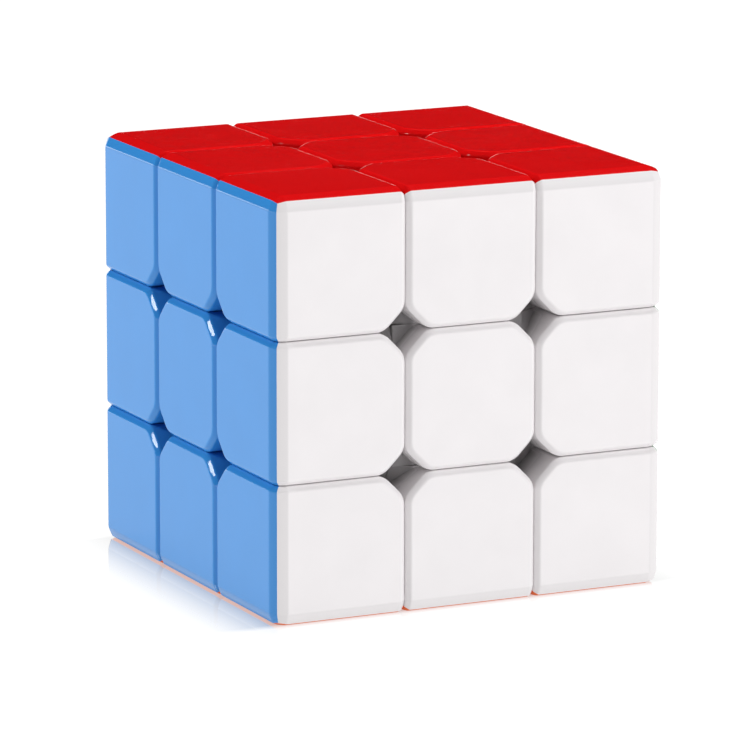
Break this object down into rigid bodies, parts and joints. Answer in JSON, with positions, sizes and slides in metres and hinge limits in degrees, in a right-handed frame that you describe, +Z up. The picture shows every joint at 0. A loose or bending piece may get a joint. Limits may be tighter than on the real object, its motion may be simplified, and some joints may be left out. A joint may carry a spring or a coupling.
{
  "type": "twisty puzzle cube",
  "caption": "Sticker-free twisty puzzle cube with coloured caps, hooked feet, spring-loaded centres and a six-armed core; top and bottom layers turn.",
  "frame": {"origin": "middle of the core, where the three turning axes cross", "axes": "+Z up through the red face, -Y out through the white face, -X out through the blue face"},
  "size_m": [0.056, 0.056, 0.056],
  "materials": {
    "red": "gloss, moulded through in colour",
    "orange": "gloss, moulded through in colour",
    "white": "gloss, moulded through in colour",
    "yellow": "gloss, moulded through in colour",
    "blue": "gloss, moulded through in colour",
    "green": "gloss, moulded through in colour",
    "inner": "satin, moulded",
    "steel": "plain zinc-plated",
    "spring": "drawn wire"
  },
  "bodies": {
    "core": {"core": "inner", "tension_screws": "steel", "screw_washers": "steel", "spring_top": "spring", "spring_bottom": "spring", "spring_front": "spring", "spring_back": "spring", "spring_left": "spring", "spring_right": "spring", "edge_foot_front_left": "inner", "edge_foot_front_right": "inner", "edge_foot_back_left": "inner", "edge_foot_back_right": "inner", "middle_row_caps_front": "white", "middle_row_caps_back": "yellow", "middle_row_caps_left": "blue", "middle_row_caps_right": "green"},
    "top_layer": {"top_corner_caps": "red", "top_edge_caps": "red", "top_row_caps_front": "white", "edge_foot_top_front": "inner", "top_row_caps_back": "yellow", "edge_foot_top_back": "inner", "top_row_caps_left": "blue", "edge_foot_top_left": "inner", "top_row_caps_right": "green", "edge_foot_top_right": "inner", "corner_foot_top_front_left": "inner", "corner_foot_top_front_right": "inner", "corner_foot_top_back_left": "inner", "corner_foot_top_back_right": "inner"},
    "bottom_layer": {"bottom_corner_caps": "orange", "bottom_edge_caps": "orange", "bottom_row_caps_front": "white", "edge_foot_bottom_front": "inner", "bottom_row_caps_back": "yellow", "edge_foot_bottom_back": "inner", "bottom_row_caps_left": "blue", "edge_foot_bottom_left": "inner", "bottom_row_caps_right": "green", "edge_foot_bottom_right": "inner", "corner_foot_bottom_front_left": "inner", "corner_foot_bottom_front_right": "inner", "corner_foot_bottom_back_left": "inner", "corner_foot_bottom_back_right": "inner"},
    "top_centre": {"centre_base_top": "red", "centre_cap_top": "red"},
    "bottom_centre": {"centre_base_bottom": "orange", "centre_cap_bottom": "orange"},
    "front_centre": {"centre_base_front": "white", "centre_cap_front": "white"},
    "back_centre": {"centre_base_back": "yellow", "centre_cap_back": "yellow"},
    "left_centre": {"centre_base_left": "blue", "centre_cap_left": "blue"},
    "right_centre": {"centre_base_right": "green", "centre_cap_right": "green"}
  },
  "joints": [
    {"name": "top_turn", "type": "hinge", "parent": "core", "child": "top_layer", "pos_m": [0, 0, 0], "axis": [0, 0, 1], "continuous": true},
    {"name": "bottom_turn", "type": "hinge", "parent": "core", "child": "bottom_layer", "pos_m": [0, 0, 0], "axis": [0, 0, -1], "continuous": true},
    {"name": "top_centre_lift", "type": "slide", "parent": "top_layer", "child": "top_centre", "axis": [0, 0, 1], "range_m": [0, 0.001], "stiffness_N_per_m": 900, "springref_m": -0.0015, "deforming": ["spring_top"]},
    {"name": "bottom_centre_lift", "type": "slide", "parent": "bottom_layer", "child": "bottom_centre", "axis": [0, 0, -1], "range_m": [0, 0.001], "stiffness_N_per_m": 900, "springref_m": -0.0015, "deforming": ["spring_bottom"]},
    {"name": "front_centre_lift", "type": "slide", "parent": "core", "child": "front_centre", "axis": [0, -1, 0], "range_m": [0, 0.001], "stiffness_N_per_m": 900, "springref_m": -0.0015, "deforming": ["spring_front"]},
    {"name": "back_centre_lift", "type": "slide", "parent": "core", "child": "back_centre", "axis": [0, 1, 0], "range_m": [0, 0.001], "stiffness_N_per_m": 900, "springref_m": -0.0015, "deforming": ["spring_back"]},
    {"name": "left_centre_lift", "type": "slide", "parent": "core", "child": "left_centre", "axis": [-1, 0, 0], "range_m": [0, 0.001], "stiffness_N_per_m": 900, "springref_m": -0.0015, "deforming": ["spring_left"]},
    {"name": "right_centre_lift", "type": "slide", "parent": "core", "child": "right_centre", "axis": [1, 0, 0], "range_m": [0, 0.001], "stiffness_N_per_m": 900, "springref_m": -0.0015, "deforming": ["spring_right"]}
  ]
}
